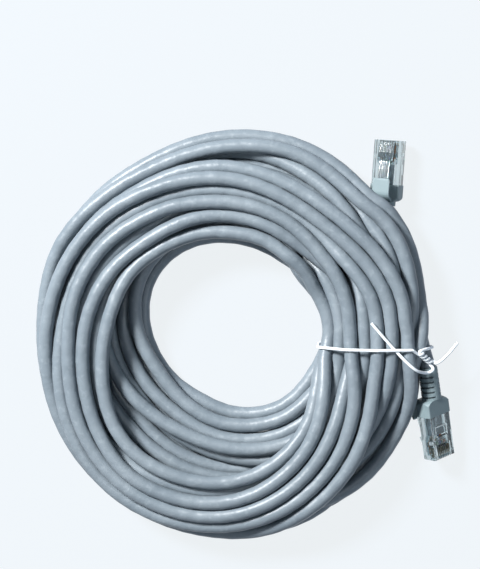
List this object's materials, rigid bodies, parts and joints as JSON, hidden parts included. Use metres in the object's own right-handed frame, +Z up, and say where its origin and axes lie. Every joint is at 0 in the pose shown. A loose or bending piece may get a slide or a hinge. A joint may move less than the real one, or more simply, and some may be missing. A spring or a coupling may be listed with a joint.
{
  "type": "ethernet patch cable",
  "caption": "Grey round network patch cable wound into a flat coil with a white twist tie, with a clear modular plug and a snagless boot on each end.",
  "frame": {"origin": "on the surface that the coil lies on, under the middle of the whole part's outline", "axes": "+Z up out of the flat coil; +Y towards the nose of plug A; +X towards the side where the twist tie is knotted"},
  "size_m": [0.174, 0.1692, 0.0257],
  "materials": {
    "jacket": "grey PVC, satin",
    "boot": "moulded soft PVC, satin",
    "clear_housing": "clear polycarbonate, polished",
    "clear_guide": "clear moulded",
    "gold_contact": "gold plated, bright",
    "tie_wire": "white plastic over soft wire",
    "wire_white_orange": "insulation of one conductor",
    "wire_orange": "insulation of one conductor",
    "wire_white_green": "insulation of one conductor",
    "wire_blue": "insulation of one conductor",
    "wire_white_blue": "insulation of one conductor",
    "wire_green": "insulation of one conductor",
    "wire_white_brown": "insulation of one conductor",
    "wire_brown": "insulation of one conductor"
  },
  "bodies": {
    "cable": {"coil": "jacket", "twist_tie": "tie_wire", "tail_a": "jacket", "boot_a": "boot", "housing_a": "clear_housing", "crimp_bar_a": "clear_housing", "wire_guide_a": "clear_guide", "jacket_end_a": "jacket", "contact_a1": "gold_contact", "conductor_a1_white_orange": "wire_white_orange", "contact_a2": "gold_contact", "conductor_a2_orange": "wire_orange", "contact_a3": "gold_contact", "conductor_a3_white_green": "wire_white_green", "contact_a4": "gold_contact", "conductor_a4_blue": "wire_blue", "contact_a5": "gold_contact", "conductor_a5_white_blue": "wire_white_blue", "contact_a6": "gold_contact", "conductor_a6_green": "wire_green", "contact_a7": "gold_contact", "conductor_a7_white_brown": "wire_white_brown", "contact_a8": "gold_contact", "conductor_a8_brown": "wire_brown", "tail_b": "jacket", "boot_b": "boot", "housing_b": "clear_housing", "crimp_bar_b": "clear_housing", "wire_guide_b": "clear_guide", "jacket_end_b": "jacket", "contact_b1": "gold_contact", "conductor_b1_white_orange": "wire_white_orange", "contact_b2": "gold_contact", "conductor_b2_orange": "wire_orange", "contact_b3": "gold_contact", "conductor_b3_white_green": "wire_white_green", "contact_b4": "gold_contact", "conductor_b4_blue": "wire_blue", "contact_b5": "gold_contact", "conductor_b5_white_blue": "wire_white_blue", "contact_b6": "gold_contact", "conductor_b6_green": "wire_green", "contact_b7": "gold_contact", "conductor_b7_white_brown": "wire_white_brown", "contact_b8": "gold_contact", "conductor_b8_brown": "wire_brown"},
    "latch_a": {"latch_a": "clear_housing"},
    "hood_a": {"hood_a": "boot"},
    "latch_b": {"latch_b": "clear_housing"},
    "hood_b": {"hood_b": "boot"}
  },
  "joints": [
    {"name": "latch_a_press", "type": "hinge", "parent": "cable", "child": "latch_a", "pos_m": [0.05783, 0.07908, 0.00911], "axis": [0.9636, -0.0674, 0.2588], "range_deg": [0, 11], "stiffness_Nm_per_rad": 0.12},
    {"name": "hood_a_flex", "type": "hinge", "parent": "cable", "child": "hood_a", "pos_m": [0.05618, 0.05634, 0.00935], "axis": [-0.9636, 0.0674, -0.2588], "range_deg": [0, 20], "stiffness_Nm_per_rad": 0.01},
    {"name": "latch_b_press", "type": "hinge", "parent": "cable", "child": "latch_b", "pos_m": [0.07685, -0.04801, 0.0048], "axis": [0.6882, 0.1837, -0.7018], "range_deg": [0, 11], "stiffness_Nm_per_rad": 0.12},
    {"name": "hood_b_flex", "type": "hinge", "parent": "cable", "child": "hood_b", "pos_m": [0.07352, -0.02561, 0.0074], "axis": [-0.6882, -0.1837, 0.7018], "range_deg": [0, 20], "stiffness_Nm_per_rad": 0.01}
  ],
  "couplings": [
    {"joint": "hood_a_flex", "follows": "latch_a_press", "ratio": 1.8},
    {"joint": "hood_b_flex", "follows": "latch_b_press", "ratio": 1.8}
  ]
}
